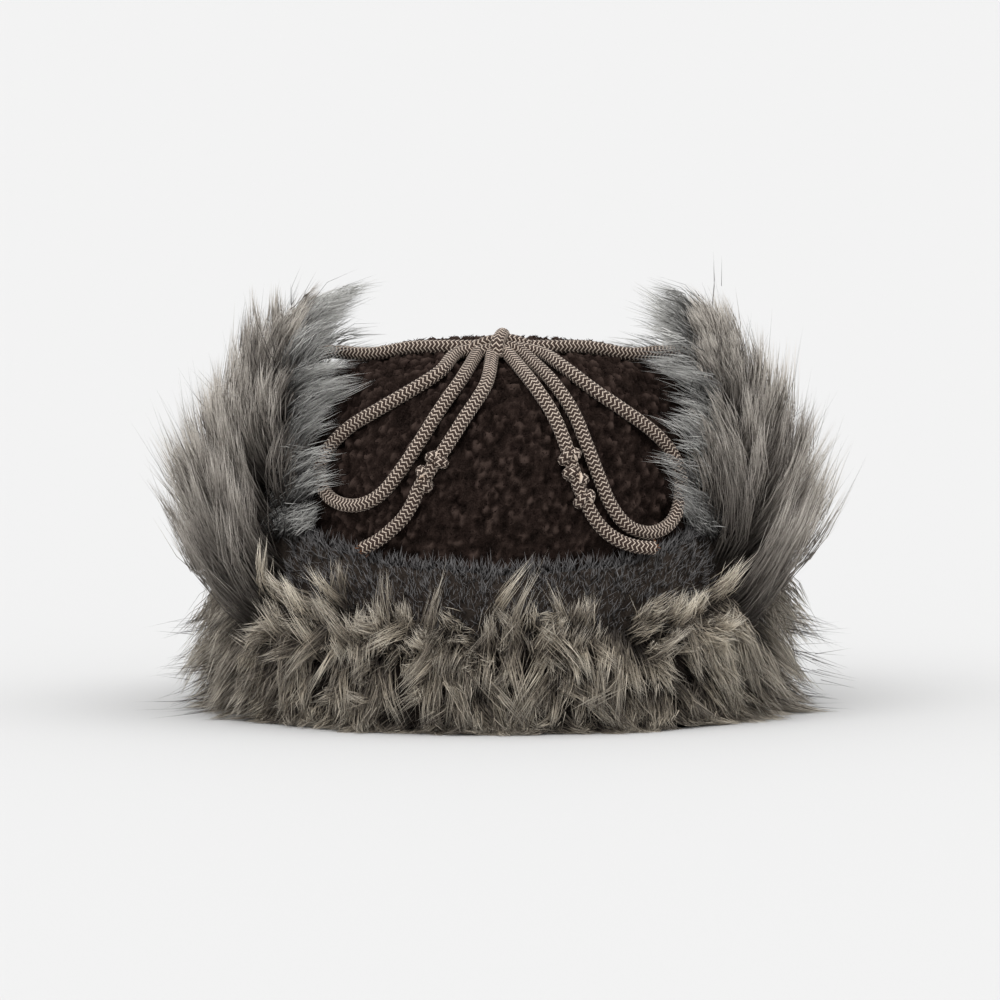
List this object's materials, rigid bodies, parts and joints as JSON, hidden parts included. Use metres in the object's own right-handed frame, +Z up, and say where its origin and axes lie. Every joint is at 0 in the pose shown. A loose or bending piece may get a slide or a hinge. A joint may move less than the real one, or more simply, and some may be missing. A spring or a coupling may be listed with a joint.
{
  "type": "trooper hat",
  "caption": "Trooper hat with a hollow fleece crown, long-hair fur flaps turned up all round it, and ear flaps tied together over the crown by a braided cord in a bow.",
  "frame": {"origin": "on the floor under the middle of the hat's outline", "axes": "+Z up, the front of the hat towards -Y, +X to the right as seen from the front"},
  "size_m": [0.3092, 0.279, 0.192],
  "materials": {
    "fleece": "curly sherpa fleece, dark brown",
    "fur": "long soft imitation fur, grey and tan with dark roots",
    "cord": "braided cord, dark brown flecked with cream"
  },
  "bodies": {
    "root": {"crown": "fleece", "front_flap": "fur", "neck_flap": "fur", "ear_flap_left": "fur", "ear_flap_right": "fur", "bow_knot": "cord", "tie_left": "cord", "tie_right": "cord", "bow_loop_left": "cord", "bow_loop_right": "cord", "bow_tail_left": "cord", "bow_tail_right": "cord"}
  },
  "joints": []
}
